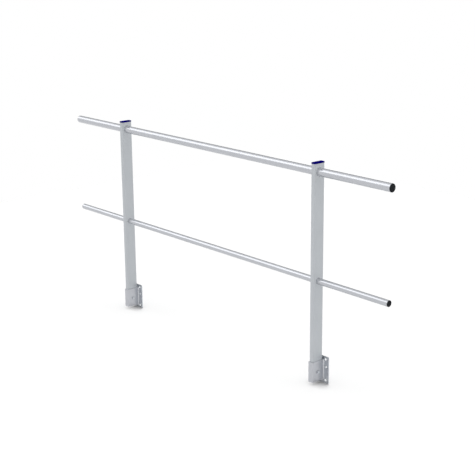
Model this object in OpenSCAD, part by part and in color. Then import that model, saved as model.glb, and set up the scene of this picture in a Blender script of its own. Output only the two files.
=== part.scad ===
// Wall-mounted guardrail, one bay with free ends.
// Two flat tube posts stand in sleeves on wall plates. A handrail and a knee
// rail run right through both posts and are plugged at their ends.
// The origin is the middle of the left plate's wall face. +X runs along the
// rails to the right post, +Y points into the wall and +Z points up.

/* [Layout] */
// Distance between the two posts, centre to centre
post_spacing = 1500; // [600:10:1800]
// Length of each rail beyond the post it passes through
rail_overhang = 450; // [120:5:600]
// Height of the handrail's axis above the middle of the wall plates
handrail_height = 978; // [700:1:1200]
// Distance from the handrail's axis down to the knee rail's axis
rail_gap = 524; // [200:1:560]

/* [Rails] */
// Outside diameter of the handrail
handrail_d = 40; // [25:1:50]
// Outside diameter of the knee rail
knee_rail_d = 31; // [20:1:50]
// Wall thickness of both rails
rail_wall = 2; // [1.5:0.1:4]
// Clearance between a rail and the hole it passes through, on each side
rail_clearance = 0.25; // [0.2:0.05:1]

/* [Posts] */
// Depth of a post, square to the wall
post_depth = 62; // [60:1:90]
// Width of a post, along the rails
post_width = 22; // [16:1:40]
// Wall thickness of a post
post_wall = 2.5; // [1.5:0.1:4]
// Radius of a post's long edges
post_edge_r = 1.5; // [0.5:0.1:3]
// Length of a post above the handrail's axis
post_rise = 39.5; // [34:0.5:60]

/* [Post caps] */
// Thickness of a cap's head at its edge
cap_edge = 6; // [2:0.5:8]
// Height of the crown on top of the head
cap_crown = 1.5; // [0.5:0.5:4]
// How far the head reaches past the post on each side
cap_lip = 1; // [0:0.1:1.5]
// Depth of the plug inside the post
cap_plug_depth = 9; // [6:1:10]
// Wall thickness of the plug
cap_plug_wall = 2; // [1.5:0.1:2.5]
// Clearance between the plug and the inside of the post, on each side
cap_clearance = 0.3; // [0.1:0.1:0.6]

/* [Rail plugs] */
// Thickness of a plug's head outside the rail
plug_head = 1; // [1:0.5:6]
// Length of a plug inside the rail
plug_depth = 18; // [12:1:30]
// Wall thickness of the part inside the rail
plug_wall = 2; // [1.5:0.1:3]
// Clearance between a plug's core and the inside of the rail, on each side
plug_clearance = 0.8; // [0.4:0.1:1.2]
// Number of gripping ribs round a plug
plug_ribs = 3; // [1:1:4]

/* [Wall plates] */
// Width of a wall plate, along the rails
plate_width = 96; // [76:1:160]
// Height of a wall plate
plate_height = 136; // [130:1:220]
// Thickness of a wall plate
plate_thickness = 5; // [4:0.5:12]
// Corner radius of a wall plate
plate_corner_r = 4; // [1:0.5:8]
// Diameter of the four fixing holes
fixing_hole_d = 13; // [8:0.5:14]
// Distance from a fixing hole's axis to the plate's side edge
fixing_side = 20; // [12:0.5:20]
// Distance from a fixing hole's axis to the plate's top or bottom edge
fixing_end = 14; // [12:0.5:25]
// Diameter of the two pin holes that set the plate before it is fixed
pin_hole_d = 11; // [6:0.5:12]
// Distance from a pin hole's axis to the plate's side edge
pin_side = 16; // [12:0.5:20]
// Height of the pin holes above the middle of the plate
pin_hole_height = 16; // [-20:1:30]

/* [Post sleeves] */
// Height of a sleeve
sleeve_height = 101; // [60:1:120]
// Thickness of a sleeve's front and side walls
sleeve_wall = 4; // [3:0.5:6]
// Thickness of a sleeve's back wall, against the plate
sleeve_back = 6.5; // [4:0.5:10]
// Clearance between a post and its sleeve, on each side
sleeve_clearance = 0.5; // [0.3:0.1:1.5]
// Outside radius of a sleeve's long edges
sleeve_edge_r = 3; // [1:0.5:4]
// Leg of the weld fillet down each side of the sleeve
weld_leg = 4; // [2:0.5:4]

/* [Sleeve bolts] */
// Diameter of the bolt that holds a post in its sleeve
bolt_d = 8; // [6:1:12]
// Height of the bolt above the middle of the wall plates
bolt_height = -5; // [-20:1:20]
// Clearance between the bolt and its holes, on each side
bolt_clearance = 0.5; // [0.3:0.1:1]
// Width across the flats of the bolt's head and nut
bolt_flats = 13; // [13:1:19]
// Height of the bolt's head
bolt_head = 5.3; // [4:0.1:8]
// Height of the nut
nut_height = 6.5; // [5:0.5:10]
// Length of thread showing past the nut
bolt_end = 3; // [1:0.5:6]
// Diameter of the washers
washer_d = 17; // [16:1:26]
// Thickness of the washers
washer_thickness = 1.5; // [1:0.5:3]

/* [Hidden] */

// smoothness of round shapes and of a hull's own children
$fn = 64;
hull_fn = 24;
// how far a cutting shape runs past what it cuts
cut_over = 1;

// hollow of a sleeve, and its outside width
inner_width = post_width + 2 * sleeve_clearance;
inner_depth = post_depth + 2 * sleeve_clearance;
sleeve_width = inner_width + 2 * sleeve_wall;

// distance of the post's axis from the wall plate, and its place
post_standoff = inner_depth / 2 + sleeve_back;
post_y = -plate_thickness - post_standoff;

// heights above the middle of the wall plates
sleeve_bottom = -sleeve_height / 2;
post_bottom = sleeve_bottom;
post_top = handrail_height + post_rise;
knee_rail_height = handrail_height - rail_gap;

rail_length = post_spacing + 2 * rail_overhang;
rail_start = -rail_overhang;

left_x = 0;
right_x = post_spacing;

aluminium = [0.76, 0.77, 0.79];
mill_aluminium = [0.70, 0.71, 0.73];
zinc = [0.62, 0.64, 0.66];
cap_blue = [0.06, 0.05, 0.36];
plug_black = [0.05, 0.05, 0.055];

// a rectangle in plan, centred, with round corners
module rounded_rectangle(size_x, size_y, radius) {
    square([size_x - 2 * radius, size_y], center = true);
    square([size_x, size_y - 2 * radius], center = true);
    for (x = [-1, 1], y = [-1, 1])
        translate([x * (size_x / 2 - radius), y * (size_y / 2 - radius)])
            circle(r = radius);
}

// a round bar along X that starts at x = 0
module bar_x(d, length) {
    rotate([0, 90, 0]) cylinder(d = d, h = length);
}

// a hole along X through everything at the post's place
module hole_x(d, reach) {
    translate([-reach, 0, 0]) bar_x(d, 2 * reach);
}

// a hexagonal block along X that starts at x = 0, flats up and down
module hexagon_x(flats, length) {
    rotate([0, 90, 0]) rotate([0, 0, 30]) cylinder(d = flats / cos(30), h = length, $fn = 6);
}

// flat plate on the wall, with four fixing holes and two pin holes
module wall_plate(x) {
    fixing_x = plate_width / 2 - fixing_side;
    fixing_z = plate_height / 2 - fixing_end;
    pin_x = plate_width / 2 - pin_side;
    color(mill_aluminium)
        translate([x, 0, 0]) rotate([90, 0, 0])
            linear_extrude(plate_thickness) difference() {
                rounded_rectangle(plate_width, plate_height, plate_corner_r);
                for (side = [-1, 1]) {
                    for (end = [-1, 1])
                        translate([side * fixing_x, end * fixing_z]) circle(d = fixing_hole_d);
                    translate([side * pin_x, pin_hole_height]) circle(d = pin_hole_d);
                }
            }
}

// one concave weld fillet in plan, in the corner at the origin
module weld_fillet() {
    difference() {
        square(weld_leg);
        translate([weld_leg, weld_leg]) circle(r = weld_leg);
    }
}

// rectangular sleeve welded to the plate, bored across for the bolt
module post_sleeve(x) {
    front = inner_depth / 2 + sleeve_wall;
    color(mill_aluminium)
        translate([x, post_y, 0]) difference() {
            translate([0, 0, sleeve_bottom]) linear_extrude(sleeve_height) {
                difference() {
                    union() {
                        // only the front edges are round
                        rounded_rectangle(sleeve_width, 2 * front, sleeve_edge_r);
                        translate([-sleeve_width / 2, 0]) square([sleeve_width, post_standoff]);
                    }
                    square([inner_width, inner_depth], center = true);
                }
                for (side = [0, 1])
                    mirror([side, 0])
                        translate([sleeve_width / 2, post_standoff]) mirror([0, 1]) weld_fillet();
            }
            translate([0, 0, bolt_height]) hole_x(bolt_d + 2 * bolt_clearance, sleeve_width);
        }
}

// hexagon bolt through sleeve and post, with washers and nut
module sleeve_bolt(x) {
    head_side = sleeve_width / 2 + washer_thickness;
    color(zinc) translate([x, post_y, bolt_height]) {
        translate([-head_side - nut_height - bolt_end, 0, 0])
            bar_x(bolt_d, 2 * head_side + nut_height + bolt_end + bolt_head / 2);
        translate([sleeve_width / 2, 0, 0]) bar_x(washer_d, washer_thickness);
        translate([-head_side, 0, 0]) bar_x(washer_d, washer_thickness);
        translate([head_side, 0, 0]) hexagon_x(bolt_flats, bolt_head);
        translate([-head_side - nut_height, 0, 0]) hexagon_x(bolt_flats, nut_height);
    }
}

// extruded flat tube, pierced for both rails and for the sleeve bolt
module post(x) {
    inner_r = max(0.2, post_edge_r - post_wall / 2);
    color(aluminium) translate([x, post_y, 0]) difference() {
        translate([0, 0, post_bottom]) linear_extrude(post_top - post_bottom) difference() {
            rounded_rectangle(post_width, post_depth, post_edge_r);
            rounded_rectangle(post_width - 2 * post_wall, post_depth - 2 * post_wall, inner_r);
        }
        // each rail rests on the bottom of its holes
        translate([0, 0, handrail_height + rail_clearance])
            hole_x(handrail_d + 2 * rail_clearance, post_width);
        translate([0, 0, knee_rail_height + rail_clearance])
            hole_x(knee_rail_d + 2 * rail_clearance, post_width);
        translate([0, 0, bolt_height]) hole_x(bolt_d + 2 * bolt_clearance, post_width);
    }
}

// moulded cap: a crowned head on the post and a hollow plug inside it
module post_cap(x) {
    head_width = post_width + 2 * cap_lip;
    head_depth = post_depth + 2 * cap_lip;
    corner_r = post_edge_r + cap_lip;
    plug_width = post_width - 2 * post_wall - 2 * cap_clearance;
    plug_length = post_depth - 2 * post_wall - 2 * cap_clearance;
    crown_inset = 2 * cap_crown;
    color(cap_blue) translate([x, post_y, post_top]) {
        linear_extrude(cap_edge) rounded_rectangle(head_width, head_depth, corner_r);
        translate([0, 0, cap_edge]) hull() {
            linear_extrude(0.01)
                rounded_rectangle(head_width, head_depth, corner_r, $fn = hull_fn);
            translate([0, 0, cap_crown - 0.01]) linear_extrude(0.01)
                rounded_rectangle(head_width - 2 * crown_inset, head_depth - 2 * crown_inset,
                    corner_r, $fn = hull_fn);
        }
        translate([0, 0, -cap_plug_depth]) linear_extrude(cap_plug_depth) difference() {
            square([plug_width, plug_length], center = true);
            square([plug_width - 2 * cap_plug_wall, plug_length - 2 * cap_plug_wall], center = true);
        }
    }
}

// round tube along X
module rail(d, height) {
    color(aluminium) translate([rail_start, post_y, height]) difference() {
        bar_x(d, rail_length);
        translate([-cut_over, 0, 0]) bar_x(d - 2 * rail_wall, rail_length + 2 * cut_over);
    }
}

// moulded end plug, turned about X: outward is the way its head faces
module rail_plug(d, height, x, outward) {
    bore_r = d / 2 - rail_wall;
    core_r = bore_r - plug_clearance;
    rib_pitch = plug_depth / (plug_ribs + 1);
    rib_half = rib_pitch / 4;
    color(plug_black)
        translate([x, post_y, height]) rotate([0, outward * 90, 0]) rotate_extrude() difference() {
            union() {
                // head, with its rim turned down
                square([d / 2 - plug_head / 3, plug_head]);
                square([d / 2, plug_head * 2 / 3]);
                translate([d / 2 - plug_head / 3, plug_head * 2 / 3]) intersection() {
                    circle(r = plug_head / 3);
                    square(plug_head / 3);
                }
                translate([0, -plug_depth]) square([core_r, plug_depth]);
                for (i = [1 : plug_ribs])
                    translate([core_r, -i * rib_pitch])
                        polygon([[-plug_wall / 2, -rib_half], [plug_clearance, 0],
                            [-plug_wall / 2, rib_half]]);
            }
            translate([-cut_over, -plug_depth - cut_over])
                square([core_r - plug_wall + cut_over, plug_depth + cut_over]);
        }
}

wall_plate(left_x);  // wall_plate_left
wall_plate(right_x);  // wall_plate_right
post_sleeve(left_x);  // post_sleeve_left
post_sleeve(right_x);  // post_sleeve_right
sleeve_bolt(left_x);  // sleeve_bolt_left
sleeve_bolt(right_x);  // sleeve_bolt_right
post(left_x);  // post_left
post(right_x);  // post_right
post_cap(left_x);  // post_cap_left
post_cap(right_x);  // post_cap_right
rail(handrail_d, handrail_height);  // handrail
rail(knee_rail_d, knee_rail_height);  // knee_rail
rail_plug(handrail_d, handrail_height, rail_start, -1);  // handrail_plug_left
rail_plug(handrail_d, handrail_height, rail_start + rail_length, 1);  // handrail_plug_right
rail_plug(knee_rail_d, knee_rail_height, rail_start, -1);  // knee_rail_plug_left
rail_plug(knee_rail_d, knee_rail_height, rail_start + rail_length, 1);  // knee_rail_plug_right
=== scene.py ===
import math

import bmesh
import bpy
from mathutils import Matrix, Vector


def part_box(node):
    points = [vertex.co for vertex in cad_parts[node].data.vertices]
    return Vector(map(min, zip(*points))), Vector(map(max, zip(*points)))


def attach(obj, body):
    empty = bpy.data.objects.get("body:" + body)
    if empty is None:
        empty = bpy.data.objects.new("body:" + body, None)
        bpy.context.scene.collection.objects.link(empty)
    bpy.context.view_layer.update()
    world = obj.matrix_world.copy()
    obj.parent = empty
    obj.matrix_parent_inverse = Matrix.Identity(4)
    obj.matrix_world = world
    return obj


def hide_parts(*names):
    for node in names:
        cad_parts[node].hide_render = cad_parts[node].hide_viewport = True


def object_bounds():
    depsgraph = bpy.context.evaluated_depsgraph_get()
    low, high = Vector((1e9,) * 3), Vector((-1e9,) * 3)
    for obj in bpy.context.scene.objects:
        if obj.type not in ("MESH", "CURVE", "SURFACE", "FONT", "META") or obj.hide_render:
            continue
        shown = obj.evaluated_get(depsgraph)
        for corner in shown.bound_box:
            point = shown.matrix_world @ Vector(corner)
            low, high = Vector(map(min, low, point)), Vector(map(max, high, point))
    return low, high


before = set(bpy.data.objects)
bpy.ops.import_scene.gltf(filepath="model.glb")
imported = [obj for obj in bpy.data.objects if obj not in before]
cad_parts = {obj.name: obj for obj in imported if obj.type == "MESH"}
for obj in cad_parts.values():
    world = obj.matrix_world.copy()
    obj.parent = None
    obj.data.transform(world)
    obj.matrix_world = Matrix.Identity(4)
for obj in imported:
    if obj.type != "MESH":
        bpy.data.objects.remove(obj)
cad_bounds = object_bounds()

# ---- Wall plates ---------------------------------------------------------------
# Two plates sawn from rolled aluminium flat bar and drilled for the wall anchors.
# They keep their mill finish, so they are duller than the posts, with faint lines
# where the rolls drew the bar out. Anchors go through the holes into the wall.

MM = 0.001
SIDES = ("left", "right")


def linear(hex_colour):
    """Turn an sRGB hex colour into the linear colour that a shader takes."""
    channels = [int(hex_colour[i:i + 2], 16) / 255 for i in (1, 3, 5)]
    return [c / 12.92 if c <= 0.04045 else ((c + 0.055) / 1.055) ** 2.4
            for c in channels] + [1.0]


def add_node(tree, kind, inputs, **settings):
    """Add one node, set it up, and fill its inputs with values or other nodes' outputs."""
    node = tree.nodes.new(kind)
    for name, value in settings.items():
        setattr(node, name, value)
    for socket, value in inputs.items():
        if isinstance(value, bpy.types.NodeSocket):
            tree.links.new(value, node.inputs[socket])
        else:
            node.inputs[socket].default_value = value
    return node


def new_material(name):
    """A new material, with its node tree and its shader."""
    material = bpy.data.materials.new(name)
    material.use_nodes = True
    return material, material.node_tree, material.node_tree.nodes["Principled BSDF"]


def drawn_aluminium(name, light, dark, metallic, roughness, line_size, relief):
    """Aluminium drawn out straight by rolls or a die, and sawn to length. Fine lines vary
    its tone and its gloss, and the tone also drifts over a hand's width. The saw tears
    the ends matt. line_size is the size of one line along X, Y and Z in mm, and relief
    is the depth of its groove in mm."""
    hand_width = 90 * MM
    gloss_spread = 0.04
    sawn_metallic = 0.1
    material, tree, shader = new_material(name)
    coordinates = add_node(tree, "ShaderNodeTexCoord", {})
    place = coordinates.outputs["Object"]
    facing = add_node(tree, "ShaderNodeSeparateXYZ", {"Vector": coordinates.outputs["Normal"]})
    # sawn ends look along the draw, and so do parts of the walls of drilled holes
    drawn_along = line_size.index(max(line_size))
    end_on = add_node(tree, "ShaderNodeMath", {0: facing.outputs[drawn_along]},
                      operation="ABSOLUTE")
    sheen = add_node(tree, "ShaderNodeMapRange",
                     {"Value": end_on.outputs["Value"], "From Min": 0.9, "From Max": 0.99,
                      "To Min": metallic, "To Max": sawn_metallic})
    stretched = add_node(tree, "ShaderNodeMapping",
                         {"Vector": place, "Scale": [1 / (size * MM) for size in line_size]})
    lines = add_node(tree, "ShaderNodeTexNoise",
                     {"Vector": stretched.outputs["Vector"], "Scale": 1.0, "Detail": 3.0})
    drift = add_node(tree, "ShaderNodeTexNoise",
                     {"Vector": place, "Scale": 1 / hand_width, "Detail": 2.0})
    tone = add_node(tree, "ShaderNodeMath",
                    {0: lines.outputs["Fac"], 1: drift.outputs["Fac"]}, operation="ADD")
    share = add_node(tree, "ShaderNodeMapRange",
                     {"Value": tone.outputs["Value"], "From Min": 0.75, "From Max": 1.25})
    # sockets 6 and 7 of a colour mix are its two colours, and output 2 is the result
    colour = add_node(tree, "ShaderNodeMix",
                      {"Factor": share.outputs["Result"], 6: linear(dark), 7: linear(light)},
                      data_type="RGBA")
    gloss = add_node(tree, "ShaderNodeMapRange",
                     {"Value": lines.outputs["Fac"], "From Min": 0.3, "From Max": 0.7,
                      "To Min": roughness - gloss_spread, "To Max": roughness + gloss_spread})
    grooves = add_node(tree, "ShaderNodeBump",
                       {"Height": lines.outputs["Fac"], "Distance": relief * MM})
    tree.links.new(colour.outputs[2], shader.inputs["Base Color"])
    tree.links.new(sheen.outputs["Result"], shader.inputs["Metallic"])
    tree.links.new(gloss.outputs["Result"], shader.inputs["Roughness"])
    tree.links.new(grooves.outputs["Normal"], shader.inputs["Normal"])
    return material


def finish_nodes(names, material):
    """Give CAD nodes their finish."""
    for name in names:
        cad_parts[name].material_slots[0].material = material


def both_sides(piece):
    """The names of a piece's CAD nodes on the left and on the right."""
    return [f"{piece}_{side}" for side in SIDES]


# rolled bar: matt grey, with lines along the bar that are about a millimetre apart
rolled_flat_bar = drawn_aluminium("mill_finish_flat_bar", "#ced2d7", "#c6cacf",
                                  metallic=1.0, roughness=0.35,
                                  line_size=(120, 1.2, 1.2), relief=0.01)
finish_nodes(both_sides("wall_plate"), rolled_flat_bar)

# ---- Post sleeves --------------------------------------------------------------
# Two short rectangular tubes that hold the posts. Each is extruded in aluminium,
# sawn to length, stood on its plate and welded down both sides. The section keeps
# its mill finish, with die lines that run up the sleeve.

extruded_section = drawn_aluminium("mill_finish_section", "#bdbfc4", "#b6b8bd",
                                   metallic=1.0, roughness=0.32,
                                   line_size=(1.0, 1.0, 160), relief=0.01)
finish_nodes(both_sides("post_sleeve"), extruded_section)

# ---- Weld beads ----------------------------------------------------------------
# A fillet weld runs down each side of a sleeve, laid by hand in one pass. The weld
# metal freezes as a row of overlapping crescents, whiter and finer than the drawn
# metal beside it, and its ends are rounded where the torch was lifted.

# the legs of the sleeve's own fillet, and of the bead that covers it
weld_leg = 4.0 * MM
bead_leg = 4.3 * MM
bead_centre_depth = 3.84 * MM
bead_radius = math.hypot(bead_leg + bead_centre_depth, bead_centre_depth)
# how far its back is sunk in the metal, and how long each rounded end is
bead_sunk = 0.3 * MM
bead_end = 1.5 * MM
ripple_pitch = 2.0 * MM
# the part of the bead that stands this far out sags, and draws along what is near it
sag = 0.7 * MM
sag_from = 1.2 * MM
sag_reach = 2.0 * MM
# one ripple from below: its share of the pitch, and how much the bead swells there
ripple_steps = ((0.25, 1.07), (0.45, 0.965), (0.30, 1 / (1.07 * 0.965)))

sleeve_low, sleeve_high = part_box("post_sleeve_left")
plate_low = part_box("wall_plate_left")[0]
sleeve_side = sleeve_high.x - weld_leg
weld_corner = Vector((sleeve_side, plate_low.y, sleeve_low.z))
# what is closer than this is in the same place
TOUCHING = 0.001 * MM


def start_editing(name):
    """Name the primitive just added, put its place in its mesh and open it for editing."""
    piece = bpy.context.object
    piece.name = name
    bpy.ops.object.transform_apply(location=True, rotation=True, scale=True)
    bpy.ops.object.mode_set(mode="EDIT")
    return piece


def select_only(pieces):
    """Select some pieces and make the first one active."""
    bpy.ops.object.select_all(action="DESELECT")
    for piece in pieces:
        piece.select_set(True)
    bpy.context.view_layer.objects.active = pieces[0]


def pick_faces(wanted):
    """Select only the faces that pass a test on their middle and their normal."""
    bpy.ops.mesh.select_mode(type="FACE")
    bpy.ops.mesh.select_all(action="DESELECT")
    mesh = bmesh.from_edit_mesh(bpy.context.object.data)
    for face in mesh.faces:
        face.select_set(wanted(face.calc_center_median(), face.normal))
    bmesh.update_edit_mesh(bpy.context.object.data)


def stop_editing(smooth_angle=30):
    """Merge doubles, turn all faces outwards, and smooth what meets at less than an angle."""
    bpy.ops.mesh.select_all(action="SELECT")
    bpy.ops.mesh.remove_doubles(threshold=TOUCHING)
    bpy.ops.mesh.normals_make_consistent(inside=False)
    bpy.ops.object.mode_set(mode="OBJECT")
    bpy.ops.object.shade_smooth_by_angle(angle=math.radians(smooth_angle))


def copy_to_right(piece, name):
    """Copy a piece of the left post to the right post, with its place in its own mesh."""
    select_only([piece])
    bpy.ops.object.duplicate()
    right_sleeve_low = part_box("post_sleeve_right")[0]
    bpy.ops.transform.translate(value=right_sleeve_low - sleeve_low)
    copy = bpy.context.object
    copy.name = name
    bpy.ops.object.transform_apply(location=True, rotation=True, scale=True)
    return copy


# the bead's profile: a disc whose edge bulges out of the corner, cut off inside the metal
bpy.ops.object.select_all(action="DESELECT")
bpy.ops.mesh.primitive_circle_add(
    vertices=72, radius=bead_radius, fill_type="NGON",
    location=weld_corner + Vector((-bead_centre_depth, bead_centre_depth, 0)))
weld_beads = start_editing("weld_beads_left")
bpy.ops.mesh.bisect(plane_co=weld_corner - Vector((bead_sunk, 0, 0)),
                    plane_no=(1, 0, 0), clear_inner=True)
bpy.ops.mesh.select_all(action="SELECT")
bpy.ops.mesh.bisect(plane_co=weld_corner + Vector((0, bead_sunk, 0)),
                    plane_no=(0, -1, 0), clear_inner=True)

# its middle sags, which makes each ripple a crescent
bpy.ops.mesh.select_mode(type="VERT")
bpy.ops.mesh.select_all(action="DESELECT")
profile = bmesh.from_edit_mesh(weld_beads.data)
for vertex in profile.verts:
    out = vertex.co - weld_corner
    vertex.select_set(min(out.x, -out.y) > sag_from)
bmesh.update_edit_mesh(weld_beads.data)
bpy.ops.transform.translate(value=(0, 0, -sag), use_proportional_edit=True,
                            proportional_edit_falloff="SMOOTH", proportional_size=sag_reach)

# one ripple, without the discs at its ends
bpy.ops.mesh.select_all(action="SELECT")
for share, swelling in ripple_steps:
    bpy.ops.mesh.extrude_region_move(
        TRANSFORM_OT_translate={"value": (0, 0, share * ripple_pitch)})
    bpy.ops.transform.resize(value=(swelling, swelling, 1), center_override=weld_corner)
bpy.ops.mesh.select_mode(type="FACE")
bpy.ops.mesh.select_all(action="DESELECT")
bpy.ops.mesh.select_face_by_sides(number=4, type="GREATER")
bpy.ops.mesh.delete(type="FACE")
bpy.ops.object.mode_set(mode="OBJECT")

sleeve_height = sleeve_high.z - sleeve_low.z
ripples = weld_beads.modifiers.new("ripples", "ARRAY")
ripples.count = math.ceil(sleeve_height / ripple_pitch) + 1
ripples.use_relative_offset = False
ripples.use_constant_offset = True
ripples.constant_offset_displace = (0, 0, ripple_pitch)
ripples.use_merge_vertices = True
ripples.merge_threshold = TOUCHING
bpy.ops.object.modifier_apply(modifier="ripples")

# both ends are cut level and rounded over in two steps, each narrower by a factor
end_steps = (0.88, 0.7)
end_step_height = 0.45 * bead_end
bpy.ops.object.mode_set(mode="EDIT")
for end, way in ((sleeve_low.z, -1), (sleeve_high.z, 1)):
    cut = end - way * bead_end
    bpy.ops.mesh.select_all(action="SELECT")
    bpy.ops.mesh.bisect(plane_co=(0, 0, cut), plane_no=(0, 0, way), clear_outer=True,
                        use_fill=True, threshold=TOUCHING)
    pick_faces(lambda middle, normal: abs(middle.z - cut) < TOUCHING)
    for narrowing in end_steps:
        bpy.ops.mesh.extrude_region_move(
            TRANSFORM_OT_translate={"value": (0, 0, way * end_step_height)})
        bpy.ops.transform.resize(value=(narrowing, narrowing, 1), center_override=weld_corner)
stop_editing(smooth_angle=50)

weld_beads.modifiers.new("other_side", "MIRROR")
bpy.ops.object.modifier_apply(modifier="other_side")
bpy.ops.object.mode_set(mode="EDIT")
stop_editing(smooth_angle=50)


def clouded_metal(name, light, dark, metallic, roughness, cloud_size, grain_size, relief):
    """Metal that isn't drawn out. Its tone drifts in clouds, and a fine grain roughens its
    skin and varies its gloss. Both sizes and relief, the grain's depth, are in mm."""
    gloss_spread = 0.08
    material, tree, shader = new_material(name)
    shader.inputs["Metallic"].default_value = metallic
    place = add_node(tree, "ShaderNodeTexCoord", {}).outputs["Object"]
    clouds = add_node(tree, "ShaderNodeTexNoise",
                      {"Vector": place, "Scale": 1 / (cloud_size * MM), "Detail": 3.0})
    grain = add_node(tree, "ShaderNodeTexNoise",
                     {"Vector": place, "Scale": 1 / (grain_size * MM), "Detail": 4.0})
    colour = add_node(tree, "ShaderNodeMix",
                      {"Factor": clouds.outputs["Fac"], 6: linear(dark), 7: linear(light)},
                      data_type="RGBA")
    gloss = add_node(tree, "ShaderNodeMapRange",
                     {"Value": grain.outputs["Fac"], "From Min": 0.3, "From Max": 0.7,
                      "To Min": roughness - gloss_spread, "To Max": roughness + gloss_spread})
    skin = add_node(tree, "ShaderNodeBump",
                    {"Height": grain.outputs["Fac"], "Distance": relief * MM})
    tree.links.new(colour.outputs[2], shader.inputs["Base Color"])
    tree.links.new(gloss.outputs["Result"], shader.inputs["Roughness"])
    tree.links.new(skin.outputs["Normal"], shader.inputs["Normal"])
    return material


# weld metal: whitish, with a fine grain and a satin sheen on each ripple
weld_metal = clouded_metal("aluminium_weld_metal", "#cbcdd1", "#bdbfc3", metallic=1.0,
                           roughness=0.41, cloud_size=6, grain_size=0.5, relief=0.04)
weld_beads.data.materials.append(weld_metal)

for bead in (weld_beads, copy_to_right(weld_beads, "weld_beads_right")):
    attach(bead, "root")

# ---- Sleeve bolts --------------------------------------------------------------
# One M8 hexagon bolt goes through each sleeve and post, with washers under its head
# and its nut. All are cold-formed steel, zinc plated: blue-grey and satin, with
# chamfered corners, and 3 mm of rolled thread stands out of the nut.

thread_d = 8.0 * MM
thread_pitch = 1.25 * MM
thread_depth = 0.61 * thread_pitch
thread_length = 16.0 * MM
# the share of the pitch that a tooth keeps at its crest
crest_share = 0.15
thread_sides = 32
# turns that are swept past the thread's two ends and then cut off
spare_turns = 4
across_flats = 13.0 * MM
seat_r = 0.45 * across_flats
seat_height = 0.4 * MM
chamfer = 0.75 * MM
chamfer_r = 0.475 * across_flats
nut_height = 6.5 * MM
nut_clearance = 0.1 * MM
washer_thickness = 1.5 * MM
washer_rim = 0.2 * MM
washer_clearance = 0.2 * MM
# how far the shank runs into the head and into the thread
shank_overlap = 1.0 * MM

bolt_low, bolt_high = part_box("sleeve_bolt_left")
bolt_axis = Vector((0, (bolt_low.y + bolt_high.y) / 2, (bolt_low.z + bolt_high.z) / 2))
washer_r = (bolt_high.z - bolt_low.z) / 2
ALONG = Vector((1, 0, 0))


def corner_radius(flats):
    """How far the corners of a hexagon are from its middle, from its size across flats."""
    return flats / 2 / math.cos(math.radians(30))


def turned(name, start, axis, steps, sides=48):
    """A solid turned about an axis. It starts as a disc with the first step's radius, and
    each later step is how far it then advances and the radius that it reaches there."""
    radius = steps[0][1]
    bpy.ops.object.select_all(action="DESELECT")
    bpy.ops.mesh.primitive_circle_add(
        vertices=sides, radius=radius, fill_type="NGON", location=start,
        rotation=axis.to_track_quat("Z", "Y").to_euler())
    piece = start_editing(name)
    bpy.ops.mesh.select_all(action="SELECT")
    for advance, next_radius in steps[1:]:
        growth = next_radius / radius
        bpy.ops.mesh.extrude_region_move(TRANSFORM_OT_translate={"value": advance * axis})
        bpy.ops.transform.resize(value=[1.0 if part else growth for part in axis],
                                 center_override=start)
        radius = next_radius
    return piece


def cut_with(piece, tool, operation):
    """Keep only what a piece shares with a tool, or cut the tool's shape out of it. The
    tool is used up."""
    boolean = piece.modifiers.new("boolean", "BOOLEAN")
    boolean.operation = operation
    boolean.object = tool
    select_only([piece])
    bpy.ops.object.modifier_apply(modifier="boolean")
    bpy.data.objects.remove(tool)
    bpy.ops.object.mode_set(mode="EDIT")
    bpy.ops.mesh.select_all(action="SELECT")
    bpy.ops.mesh.dissolve_degenerate(threshold=2 * TOUCHING)
    stop_editing(smooth_angle=20)
    return piece


def hexagon(name, start, axis, flats, turn, steps):
    """A hexagonal head or nut: a turned blank, with its sides cut to six flats. flats is
    the size across them, and turn is how far they are turned about the axis, in degrees."""
    blank = turned(name, start, axis, steps, sides=64)
    stop_editing()
    length = sum(advance for advance, radius in steps)
    bpy.ops.object.select_all(action="DESELECT")
    bpy.ops.mesh.primitive_cylinder_add(
        vertices=6, radius=corner_radius(flats), depth=2 * length,
        location=start + axis * length / 2, rotation=axis.to_track_quat("Z", "Y").to_euler())
    flats_tool = start_editing(name + "_flats")
    bpy.ops.mesh.select_all(action="SELECT")
    bpy.ops.transform.rotate(value=math.radians(turn), orient_axis="X" if axis.x else "Y",
                             center_override=start)
    stop_editing()
    return cut_with(blank, flats_tool, "INTERSECT")


def join(pieces):
    """Join pieces into the first one."""
    select_only(pieces)
    bpy.ops.object.join()
    return pieces[0]


# head: a round seat under six chamfered flats, turned from a blank that just takes them
blank_r = 1.01 * corner_radius(across_flats)
head_start = bolt_axis + (sleeve_side + washer_thickness) * ALONG
head_height = bolt_high.x - head_start.x
head = hexagon("hexagon_bolt_left", head_start, ALONG, across_flats, turn=12, steps=(
    (0, seat_r), (seat_height, seat_r), (0, blank_r),
    (head_height - seat_height - chamfer, blank_r), (chamfer, chamfer_r)))

# nut: chamfered on both faces, with a plain bore that the thread fills
nut_start = bolt_axis - (sleeve_side + washer_thickness) * ALONG
nut = hexagon("hexagon_nut_left", nut_start, -ALONG, across_flats, turn=20, steps=(
    (0, chamfer_r), (chamfer, blank_r), (nut_height - 2 * chamfer, blank_r),
    (chamfer, chamfer_r)))
bore_r = thread_d / 2 + nut_clearance
drill_run = 5.0 * MM
bore = turned("nut_bore", nut_start + drill_run * ALONG, -ALONG,
              ((0, bore_r), (nut_height + 2 * drill_run, bore_r)))
stop_editing()
cut_with(nut, bore, "DIFFERENCE")


def pick_edges(wanted):
    """Select only the edges that pass a test on their two ends."""
    bpy.ops.mesh.select_mode(type="EDGE")
    bpy.ops.mesh.select_all(action="DESELECT")
    mesh = bmesh.from_edit_mesh(bpy.context.object.data)
    for edge in mesh.edges:
        edge.select_set(wanted(edge.verts[0].co, edge.verts[1].co))
    bmesh.update_edit_mesh(bpy.context.object.data)


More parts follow.
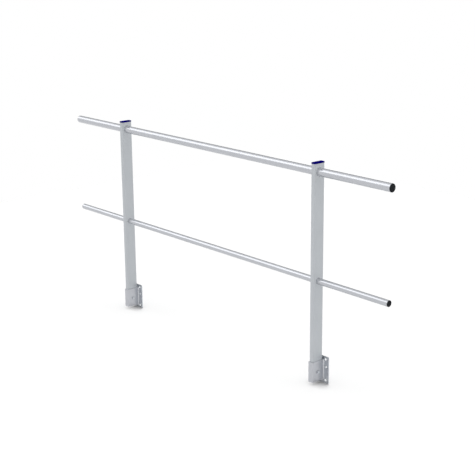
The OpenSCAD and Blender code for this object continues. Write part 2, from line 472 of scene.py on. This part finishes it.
# thread: one tooth of its profile, swept round the bolt as a helix
thread_middle_r = (thread_d - thread_depth) / 2
thread_end = Vector((bolt_low.x, bolt_axis.y, bolt_axis.z))
bpy.ops.object.select_all(action="DESELECT")
bpy.ops.mesh.primitive_plane_add(size=thread_pitch, rotation=(math.radians(90), 0, 0),
                                 location=thread_end - spare_turns / 2 * thread_pitch * ALONG)
thread = bpy.context.object
thread.name = "thread"
bpy.ops.object.transform_apply(location=False, rotation=True, scale=True)
bpy.ops.object.mode_set(mode="EDIT")
bpy.ops.mesh.select_all(action="SELECT")
bpy.ops.transform.resize(value=(1, 1, thread_depth / thread_pitch))
bpy.ops.transform.translate(value=(0, 0, thread_middle_r))
bpy.ops.mesh.delete(type="ONLY_FACE")
pick_edges(lambda start, end: abs(start.z - end.z) < TOUCHING and start.z < thread_middle_r)
bpy.ops.mesh.delete(type="EDGE")
pick_edges(lambda start, end: abs(start.z - end.z) < TOUCHING)
bpy.ops.transform.resize(value=(crest_share, 1, 1))
bpy.ops.object.mode_set(mode="OBJECT")
helix = thread.modifiers.new("helix", "SCREW")
helix.axis = "X"
helix.screw_offset = thread_pitch
helix.iterations = math.ceil(thread_length / thread_pitch) + spare_turns
helix.steps = thread_sides
helix.render_steps = thread_sides
helix.use_merge_vertices = True
helix.merge_threshold = TOUCHING
bpy.ops.object.modifier_apply(modifier="helix")
bpy.ops.object.transform_apply(location=True, rotation=True, scale=True)
bpy.ops.object.mode_set(mode="EDIT")
bpy.ops.mesh.select_all(action="SELECT")
bpy.ops.mesh.remove_doubles(threshold=TOUCHING)
bpy.ops.mesh.fill_holes(sides=0)
stop_editing()

# it is cut to length, with a chamfered point
room_step = 0.1 * MM
room_r = 1.1 * thread_d / 2
thread_room = turned("thread_room", thread_end, ALONG,
                     ((0, thread_d / 2 - thread_depth), (thread_depth, thread_d / 2),
                      (room_step, room_r), (thread_length, room_r)))
stop_editing()
cut_with(thread, thread_room, "INTERSECT")

shank_start = thread_end + (thread_length - shank_overlap) * ALONG
shank_length = head_start.x + shank_overlap - shank_start.x
shank = turned("shank", shank_start, ALONG, ((0, thread_d / 2), (shank_length, thread_d / 2)))
stop_editing()
bolt = join([head, thread, shank])

# washers: blanked discs with rolled-over rims
washer_face_r = washer_r - washer_rim
pair = []
for name, washer_x in (("bolt_washers_left", sleeve_side),
                       ("washer", -sleeve_side - washer_thickness)):
    washer = turned(name, bolt_axis + washer_x * ALONG, ALONG, (
        (0, washer_face_r), (washer_rim, washer_r),
        (washer_thickness - 2 * washer_rim, washer_r), (washer_rim, washer_face_r)))
    pick_faces(lambda middle, normal: abs(normal.x) > 0.99)
    bpy.ops.mesh.inset(thickness=washer_face_r - thread_d / 2 - washer_clearance)
    bpy.ops.mesh.bridge_edge_loops()
    stop_editing()
    pair.append(washer)
washers = join(pair)

# zinc plating: blue-grey, dull under its chromate film and clouded where that is thicker
zinc_plated_steel = clouded_metal("zinc_plated_steel", "#c4c8cd", "#b9bdc2", metallic=0.55,
                                  roughness=0.52, cloud_size=3, grain_size=0.3, relief=0.01)
for piece in (bolt, nut, washers):
    piece.data.materials.clear()
    piece.data.materials.append(zinc_plated_steel)
    right_piece = copy_to_right(piece, piece.name.replace("left", "right"))
    for side, fastener in (("left", piece), ("right", right_piece)):
        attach(fastener, "root")
        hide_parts("sleeve_bolt_" + side)

# ---- Posts ---------------------------------------------------------------------
# Flat aluminium tube, extruded with rounded edges, cut to length, pierced for both
# rails and the bolt, then satin anodised. The oxide skin makes an even, soft
# silver-grey in which the die lines along the post only just show.

anodised_tube = drawn_aluminium("satin_anodised_flat_tube", "#b6babe", "#b2b6ba",
                                metallic=0.6, roughness=0.4,
                                line_size=(0.8, 0.8, 200), relief=0.005)
finish_nodes(both_sides("post"), anodised_tube)

# ---- Post caps -----------------------------------------------------------------
# Each post is closed by a cap moulded in navy-blue polypropylene. Its head is
# crowned and has soft edges, and a hollow plug with two gripping ribs is pushed
# into the post until the head seats on the cut end.

cap_low, cap_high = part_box("post_cap_left")
post_low, post_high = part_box("post_left")
cap_crown = 1.5 * MM
cap_corner_r = 2.5 * MM
cap_rim = 0.5 * MM
cap_wall = 2.0 * MM
cap_roof = 1.0 * MM
cap_clearance = 0.3 * MM
post_wall = 2.5 * MM
cap_size = cap_high - cap_low
cap_axis = Vector(((cap_low.x + cap_high.x) / 2, (cap_low.y + cap_high.y) / 2, post_high.z))
cap_head = cap_high.z - cap_crown - cap_rim - post_high.z
cap_lip = (cap_size.x - (post_high.x - post_low.x)) / 2


def extrude_in_steps(size, axis, steps):
    """Extrude the picked face of a block up or down. Each step is how far it goes and how
    far its four sides then come in."""
    for advance, inwards in steps:
        narrower = Vector((size.x - 2 * inwards, size.y - 2 * inwards, size.z))
        bpy.ops.mesh.extrude_region_move(TRANSFORM_OT_translate={"value": (0, 0, advance)})
        bpy.ops.transform.resize(value=(narrower.x / size.x, narrower.y / size.y, 1),
                                 center_override=axis)
        size = narrower


bpy.ops.object.select_all(action="DESELECT")
bpy.ops.mesh.primitive_cube_add(size=1, location=cap_axis + Vector((0, 0, cap_head / 2)),
                                scale=(cap_size.x, cap_size.y, cap_head))
cap = start_editing("navy_cap_left")
pick_edges(lambda start, end: abs(start.z - end.z) > TOUCHING)
bpy.ops.mesh.bevel(offset=cap_corner_r, segments=6, affect="EDGES")

# the rim is a quarter round, and the crown above it rises less and less
quarter = [math.radians(18 * step) for step in range(6)]
rim_steps = [(cap_rim * (math.sin(next_turn) - math.sin(turn)),
              cap_rim * (math.cos(turn) - math.cos(next_turn)))
             for turn, next_turn in zip(quarter, quarter[1:])]
crown_steps = ((0.65 * cap_crown, 1.2 * MM), (0.25 * cap_crown, 1.4 * MM),
               (0.10 * cap_crown, 2.0 * MM))
pick_faces(lambda middle, normal: normal.z > 0.99)
extrude_in_steps(cap_size, cap_axis, rim_steps + list(crown_steps))

# the plug below has two ribs round it, and is hollow up to a roof below the head
rib = ((-0.5 * MM, -cap_clearance), (-0.8 * MM, cap_clearance))
to_first_rib = (-2.0 * MM, 0)
to_second_rib = (-1.6 * MM, 0)
plug_depth = post_high.z - cap_low.z
so_far = sum(advance for advance, inwards in (to_first_rib, *rib, to_second_rib, *rib))
to_plug_end = (-plug_depth - so_far, 0)
pick_faces(lambda middle, normal: normal.z < -0.99)
extrude_in_steps(cap_size, cap_axis, (
    (0, cap_lip + post_wall + cap_clearance), to_first_rib, *rib, to_second_rib, *rib,
    to_plug_end, (0, cap_wall), (plug_depth - cap_roof, 0)))
stop_editing(smooth_angle=35)


def moulded_plastic(name, light, dark, roughness, specular):
    """Plastic from a spark-eroded mould: an even colour and a matt, finely pebbled skin.
    The real pebbles are 0.1 mm wide, and here they are 0.4 mm so that they show."""
    pebble_size = 0.4 * MM
    pebble_depth = 0.03 * MM
    flow_size = 12 * MM
    gloss_spread = 0.05
    material, tree, shader = new_material(name)
    shader.inputs["Specular IOR Level"].default_value = specular
    place = add_node(tree, "ShaderNodeTexCoord", {}).outputs["Object"]
    pebbles = add_node(tree, "ShaderNodeTexVoronoi",
                       {"Vector": place, "Scale": 1 / pebble_size}, feature="SMOOTH_F1")
    flow = add_node(tree, "ShaderNodeTexNoise",
                    {"Vector": place, "Scale": 1 / flow_size, "Detail": 2.0})
    colour = add_node(tree, "ShaderNodeMix",
                      {"Factor": flow.outputs["Fac"], 6: linear(dark), 7: linear(light)},
                      data_type="RGBA")
    gloss = add_node(tree, "ShaderNodeMapRange",
                     {"Value": pebbles.outputs["Distance"], "From Max": 0.6,
                      "To Min": roughness - gloss_spread, "To Max": roughness + gloss_spread})
    skin = add_node(tree, "ShaderNodeBump",
                    {"Height": pebbles.outputs["Distance"], "Distance": pebble_depth})
    tree.links.new(colour.outputs[2], shader.inputs["Base Color"])
    tree.links.new(gloss.outputs["Result"], shader.inputs["Roughness"])
    tree.links.new(skin.outputs["Normal"], shader.inputs["Normal"])
    return material


# navy master batch: a deep violet blue, so matt that it stays dark in full light
cap.data.materials.append(moulded_plastic("moulded_navy_polypropylene", "#0a0566", "#06035c",
                                          roughness=0.6, specular=0.0))
for side, piece in zip(SIDES, (cap, copy_to_right(cap, "navy_cap_right"))):
    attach(piece, "root")
    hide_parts("post_cap_" + side)

# ---- Rails ---------------------------------------------------------------------
# Round aluminium tubes that run right through both posts. They are drawn, so they
# are rounder and smoother than the posts, and anodised bright enough to carry one
# long highlight.

RAILS = ("handrail", "knee_rail")

bright_tube = drawn_aluminium("drawn_anodised_tube", "#b9bbc0", "#b5b7bc",
                              metallic=0.6, roughness=0.22,
                              line_size=(300, 0.8, 0.8), relief=0.002)
finish_nodes(RAILS, bright_tube)

# satin posts are too dull to mirror the rails as a dark ring round their holes, so the
# rails are kept out of reflections
for rail in RAILS:
    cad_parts[rail].visible_glossy = False

# ---- Rail screws ---------------------------------------------------------------
# A self-drilling screw on the wall side of the post locks each rail where it passes
# through. It is stainless steel, with a small hexagon head on a pressed flange.

screw_flats = 8.0 * MM
screw_head = 4.0 * MM
screw_chamfer = 0.5 * MM
screw_top_r = 0.47 * screw_flats
screw_blank_r = 1.01 * corner_radius(screw_flats)
flange_r = 5.25 * MM
flange_height = 1.0 * MM
flange_rim = 0.2 * MM
stem_r = 2.4 * MM
stem_overlap = 0.5 * MM
screw_length = 16.0 * MM
drill_point = 3.0 * MM
drill_tip_r = 0.3 * MM
# the angle in degrees at which the driver left each rail's screw
driven_to = (8, 22)
TO_WALL = Vector((0, 1, 0))

rail_screws = []
for rail, turn in zip(RAILS, driven_to):
    rail_low, rail_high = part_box(rail)
    seat = Vector((0, post_high.y, (rail_low.z + rail_high.z) / 2))
    screw_top = hexagon(rail + "_screw_left", seat, TO_WALL, screw_flats, turn, (
        (0, screw_blank_r), (screw_head - screw_chamfer, screw_blank_r),
        (screw_chamfer, screw_top_r)))
    flange = turned("flange", seat, TO_WALL, (
        (0, flange_r - flange_rim), (flange_rim, flange_r),
        (flange_height - 2 * flange_rim, flange_r), (flange_rim, flange_r - 2 * flange_rim)))
    stop_editing()
    stem = turned("stem", seat + stem_overlap * TO_WALL, -TO_WALL, (
        (0, stem_r), (screw_length - drill_point, stem_r), (drill_point, drill_tip_r)),
        sides=24)
    stop_editing()
    rail_screws.append(join([screw_top, flange, stem]))

# stainless steel: warmer and shinier than the zinc, with faint marks from cold forming
stainless_steel = clouded_metal("cold_formed_stainless_steel", "#b8b8b7", "#a8a8a7",
                                metallic=1.0, roughness=0.32, cloud_size=0.8,
                                grain_size=0.8, relief=0.01)
for screw in rail_screws:
    screw.data.materials.clear()
    screw.data.materials.append(stainless_steel)
    for piece in (screw, copy_to_right(screw, screw.name.replace("left", "right"))):
        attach(piece, "root")

# ---- Rail plugs ----------------------------------------------------------------
# Both ends of both rails are closed by a plug moulded in black polyethylene. Its thin
# round head covers the tube's end, with a rounded rim and a dimple where the mould
# was filled, and its hollow core grips the bore with three ribs.

rail_wall = 2.0 * MM
plug_head = 1.0 * MM
plug_rim = 0.6 * MM
plug_wall = 2.0 * MM
core_clearance = 0.8 * MM
plug_ribs = 3
rib_half = 0.5 * MM
dimple_r = 3.0 * MM
dimple_floor_r = 0.9 * dimple_r
dimple_depth = 0.4 * MM


def rail_plug(name, face, inwards, head_r, length):
    """A plug turned about its rail, from the middle of its outer face inwards."""
    bore_r = head_r - rail_wall
    core_r = bore_r - core_clearance
    core_length = length - plug_head
    rib_pitch = core_length / (plug_ribs + 1)
    rim = [(plug_rim * (math.cos(turn) - math.cos(next_turn)),
            head_r - plug_rim + plug_rim * math.sin(next_turn))
           for turn, next_turn in zip(quarter, quarter[1:])]
    ribs = ((rib_pitch - 2 * rib_half, core_r), (rib_half, bore_r),
            (rib_half, core_r)) * plug_ribs
    # the step just before the rim keeps the face's shading flat up to it
    plug = turned(name, face + dimple_depth * inwards, inwards, (
        (0, dimple_floor_r), (-dimple_depth, dimple_r), (0, head_r - 1.5 * plug_rim),
        (0, head_r - plug_rim), *rim,
        (plug_head - plug_rim, head_r), (0, core_r), (rib_half, core_r), *ribs,
        (rib_pitch - rib_half, core_r), (0, core_r - plug_wall),
        (-core_length, core_r - plug_wall)), sides=96)
    stop_editing(smooth_angle=35)
    return plug


# carbon black: nearly all of its light is a faint sheen, which shows the rim and the dimple
black_polyethylene = moulded_plastic("moulded_black_polyethylene", "#0e1218", "#0a0e14",
                                     roughness=0.45, specular=0.11)
for rail in RAILS:
    for side, inwards in (("left", ALONG), ("right", -ALONG)):
        node = f"{rail}_plug_{side}"
        plug_low, plug_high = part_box(node)
        face = (plug_low + plug_high) / 2
        face.x = plug_low.x if side == "left" else plug_high.x
        plug = rail_plug(f"{rail}_black_plug_{side}", face, inwards,
                         (plug_high.z - plug_low.z) / 2, plug_high.x - plug_low.x)
        plug.data.materials.append(black_polyethylene)
        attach(plug, "root")
        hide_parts(node)

# ---- Studio --------------------------------------------------------------------
# A grey floor that its own lamp lifts to white, a white studio that is brighter
# overhead and dim on its far side, and a wide lamp high at each end of the rails.

floor_side = 7.0
floor_gap = 0.5 * MM
floor_level = cad_bounds[0][2] - floor_gap
handrail_low, handrail_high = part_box("handrail")
handrail_middle = (handrail_low + handrail_high) / 2

bpy.ops.object.select_all(action="DESELECT")
bpy.ops.mesh.primitive_plane_add(size=floor_side, location=(handrail_middle.x, 0, floor_level))
floor = bpy.context.object
floor.name = "floor"
pale_paint, _, shader = new_material("pale_floor_paint")
shader.inputs["Base Color"].default_value = linear("#bcbcbc")
shader.inputs["Roughness"].default_value = 1.0
shader.inputs["Specular IOR Level"].default_value = 0.0
floor.data.materials.append(pale_paint)

# the studio's white gets brighter overhead, and dims within a cone round its far side
overhead_from = 0.75
overhead_light = 1.5
far_side = Vector((-0.726, 0.664, 0.178)).normalized()
dim_light = 0.3
dim_cone = math.radians(20)
full_cone = math.radians(38)
studio = bpy.data.worlds.new("white_studio")
bpy.context.scene.world = studio
studio.use_nodes = True
tree = studio.node_tree
background = tree.nodes["Background"]
background.inputs["Color"].default_value = linear("#ffffff")
direction = add_node(tree, "ShaderNodeTexCoord", {}).outputs["Generated"]
height = add_node(tree, "ShaderNodeSeparateXYZ", {"Vector": direction}).outputs["Z"]
overhead = add_node(tree, "ShaderNodeMapRange",
                    {"Value": height, "From Min": overhead_from, "From Max": 1.0,
                     "To Min": 1.0, "To Max": overhead_light}, interpolation_type="SMOOTHSTEP")
towards = add_node(tree, "ShaderNodeVectorMath", {0: direction, 1: far_side},
                   operation="DOT_PRODUCT").outputs["Value"]
dimmed = add_node(tree, "ShaderNodeMapRange",
                  {"Value": towards, "From Min": math.cos(full_cone),
                   "From Max": math.cos(dim_cone), "To Min": 1.0, "To Max": dim_light},
                  interpolation_type="SMOOTHSTEP")
shade = add_node(tree, "ShaderNodeMath",
                 {0: overhead.outputs["Result"], 1: dimmed.outputs["Result"]},
                 operation="MULTIPLY")
# the background that the camera sees is plain white
seen = add_node(tree, "ShaderNodeLightPath", {}).outputs["Is Camera Ray"]
strength = add_node(tree, "ShaderNodeMix",
                    {"Factor": seen, "A": shade.outputs["Value"], "B": 1.0})
tree.links.new(strength.outputs["Result"], background.inputs["Strength"])


def hang_lamp(name, energy, spread, towards):
    """Hang a distant lamp in a direction. spread is how wide it looks, in degrees."""
    light = bpy.data.lights.new(name, "SUN")
    light.energy = energy
    light.angle = math.radians(spread)
    lamp = bpy.data.objects.new(name, light)
    bpy.context.scene.collection.objects.link(lamp)
    lamp.rotation_mode = "QUATERNION"
    lamp.rotation_quaternion = (-Vector(towards)).to_track_quat("-Z", "Y")
    return lamp


def gather(name, objects):
    """A collection that keeps a lamp's light, or its shadow, to some objects."""
    chosen = bpy.data.collections.new(name)
    for chosen_object in objects:
        chosen.objects.link(chosen_object)
    return chosen


# the wide lamp draws the highlight on the rails, and is set to cast no shadow
wide_lamp = hang_lamp("wide_lamp", energy=0.47, spread=35, towards=(-0.726, -0.38, 0.573))
wide_lamp.data.use_shadow = False

# the far lamp draws one for whoever looks from the other end, and lights the rails alone
far_lamp = hang_lamp("far_lamp", energy=0.47, spread=35, towards=(0.726, 0.1, 0.68))
far_lamp.data.use_shadow = False
far_lamp.light_linking.receiver_collection = gather(
    "lit_by_far_lamp", [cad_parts[rail] for rail in RAILS])

# the floor lamp, above the wall, lifts the grey floor alone to white, all but a soft
# shadow that the plates leave close round the feet
floor_lamp = hang_lamp("floor_lamp", energy=3.0, spread=30, towards=(-0.15, 0.3, 0.94))
floor_lamp.light_linking.receiver_collection = gather("lit_by_floor_lamp", [floor])
floor_lamp.light_linking.blocker_collection = gather(
    "shading_the_floor", [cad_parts[name] for name in both_sides("wall_plate")])

# camera: 5.7 m off, turned to the left of the wall, tilted down, and a hair off level
yaw, pitch, roll = (math.radians(angle) for angle in (-48.978, 15.774, -0.4998))
ahead = Vector((math.sin(yaw) * math.cos(pitch), math.cos(yaw) * math.cos(pitch),
                -math.sin(pitch)))
level = ahead.cross(Vector((0, 0, 1))).normalized()
upright = level.cross(ahead)
right = math.cos(roll) * level + math.sin(roll) * upright
above = math.cos(roll) * upright - math.sin(roll) * level
stand = handrail_middle + Vector((4.3168, -3.5940, 1.1161))
camera_data = bpy.data.cameras.new("camera")
camera_data.sensor_width = 36
camera_data.lens = 85.53
camera_data.clip_start = 0.1
camera_data.clip_end = 200
camera = bpy.data.objects.new("camera", camera_data)
bpy.context.scene.collection.objects.link(camera)
aim = Matrix((right, above, -ahead)).transposed().to_4x4()
camera.matrix_world = Matrix.Translation(stand) @ aim
bpy.context.scene.camera = camera
bpy.context.scene.view_settings.view_transform = "Standard"
